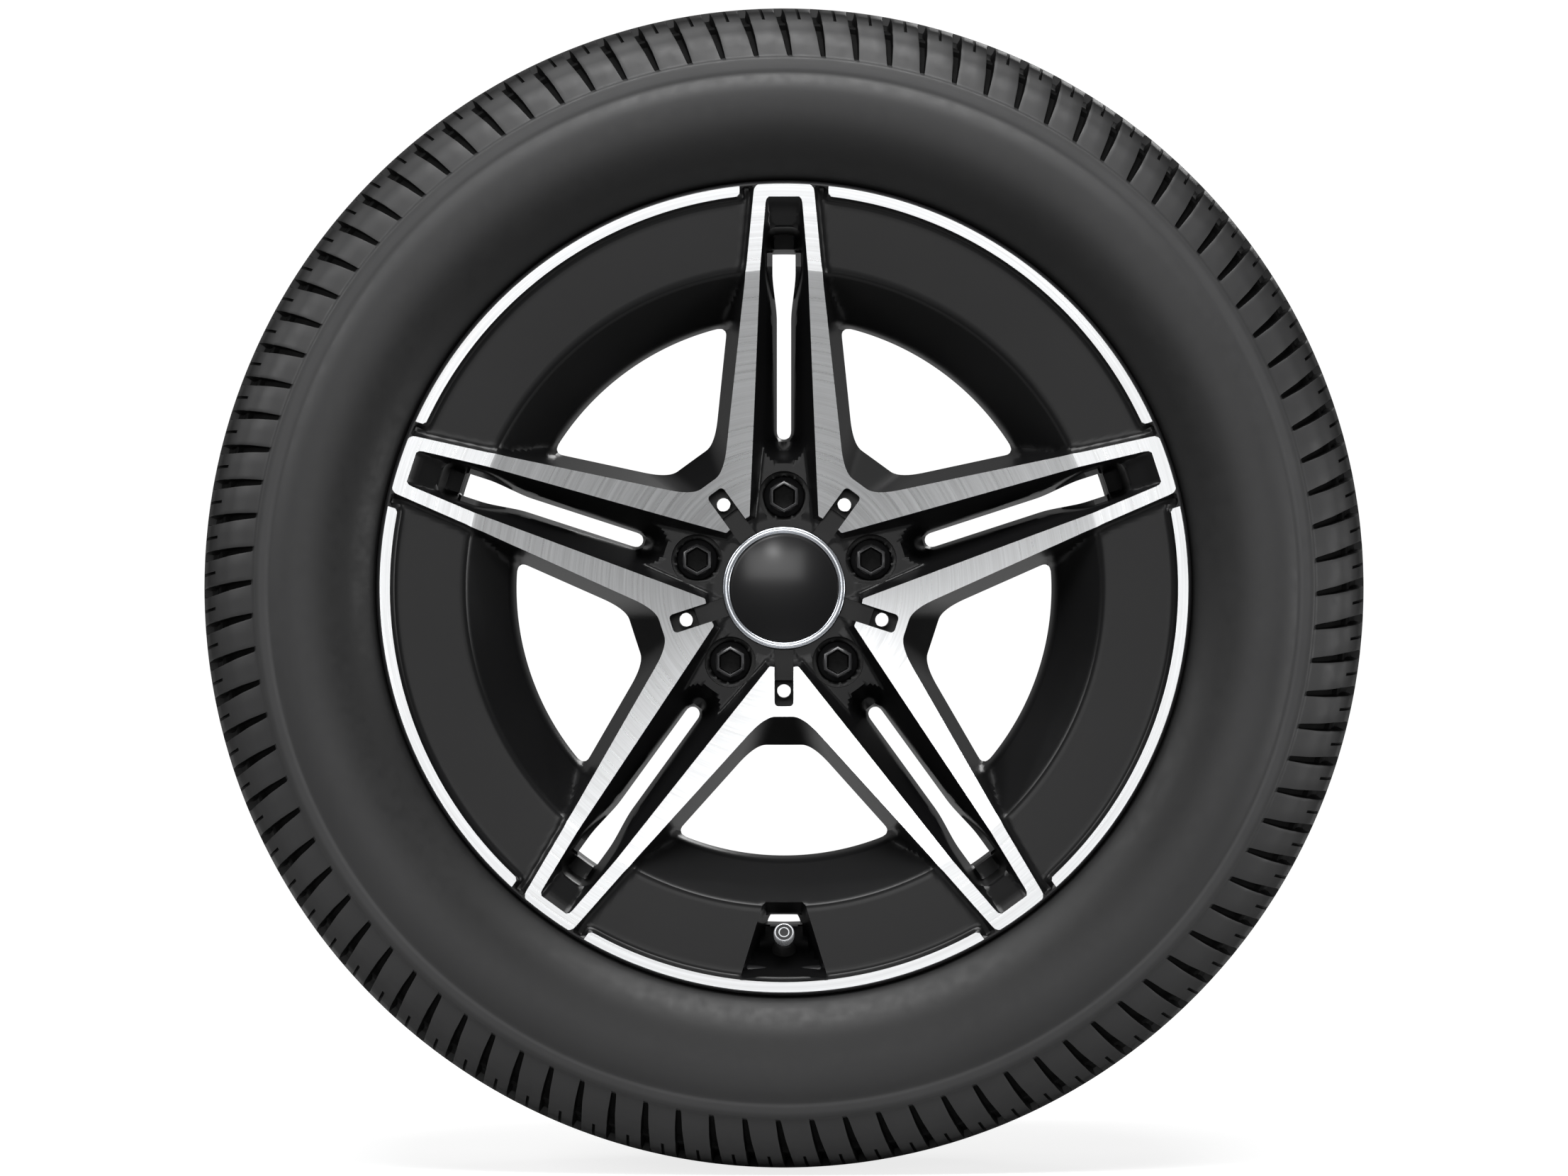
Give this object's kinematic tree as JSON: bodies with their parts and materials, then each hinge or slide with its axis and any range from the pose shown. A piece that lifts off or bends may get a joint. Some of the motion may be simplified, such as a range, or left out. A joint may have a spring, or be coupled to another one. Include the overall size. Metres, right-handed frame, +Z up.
{
  "type": "car wheel with tyre",
  "caption": "Cast alloy car wheel with paired spokes, a turned face over black paint, a tubeless tyre, a centre cap, ball seat bolts and a snap in valve with a pressure sensor.",
  "frame": {"origin": "on the wheel axis, half way between the two flanges, which is the middle of the tyre", "axes": "the wheel axis is Y; the outer face looks along -Y, the hub side along +Y; +Z is up and the valve stands at the bottom"},
  "size_m": [0.7155, 0.245, 0.7156],
  "materials": {
    "wheel_alloy": "cast aluminium in satin black paint, the spoke faces and rim strips turned bright",
    "tyre_rubber": "matt moulded tyre rubber",
    "cap_plastic": "moulded black plastic",
    "cap_gloss": "polished black disc",
    "chrome_ring": "bright chrome plate",
    "spring_steel": "plain spring wire",
    "bolt_steel": "black coated steel",
    "valve_rubber": "moulded black rubber",
    "valve_brass": "turned brass",
    "pin_steel": "plain steel",
    "seal_rubber": "soft rubber",
    "cap_metal": "plated and knurled metal",
    "cap_insert": "dark plastic disc",
    "sensor_plastic": "moulded plastic",
    "weight_zinc": "grey coated zinc"
  },
  "bodies": {
    "root": {"wheel": "wheel_alloy", "tyre": "tyre_rubber", "cap_body": "cap_plastic", "cap_disc": "cap_gloss", "cap_ring": "chrome_ring", "cap_spring": "spring_steel", "lug_bolt_1": "bolt_steel", "lug_bolt_2": "bolt_steel", "lug_bolt_3": "bolt_steel", "lug_bolt_4": "bolt_steel", "lug_bolt_5": "bolt_steel", "valve_stem": "valve_rubber", "valve_tube": "valve_brass", "valve_core": "valve_brass", "sensor_housing": "sensor_plastic", "sensor_screw": "pin_steel", "balance_weight": "weight_zinc"},
    "cap_travel": {"valve_cap_seal": "seal_rubber"},
    "cap_turn": {"valve_cap": "cap_metal", "valve_cap_disc": "cap_insert"},
    "pin": {"valve_pin": "pin_steel", "valve_washer": "seal_rubber", "valve_spring": "spring_steel"}
  },
  "joints": [
    {"name": "cap_travel", "type": "slide", "parent": "root", "child": "cap_travel", "axis": [0, -0.9136, 0.4067], "range_m": [0, 0.00636]},
    {"name": "cap_turn", "type": "hinge", "parent": "cap_travel", "child": "cap_turn", "pos_m": [0, -0.09584, -0.21183], "axis": [0, -0.9136, 0.4067], "range_deg": [0, 2880]},
    {"name": "pin_press", "type": "slide", "parent": "root", "child": "pin", "axis": [0, 0.9136, -0.4067], "range_m": [0, 0.0012], "stiffness_N_per_m": 1500, "springref_m": -0.0008}
  ],
  "couplings": [
    {"joint": "cap_travel", "follows": "cap_turn", "m_per_rad": 0.00012633}
  ]
}
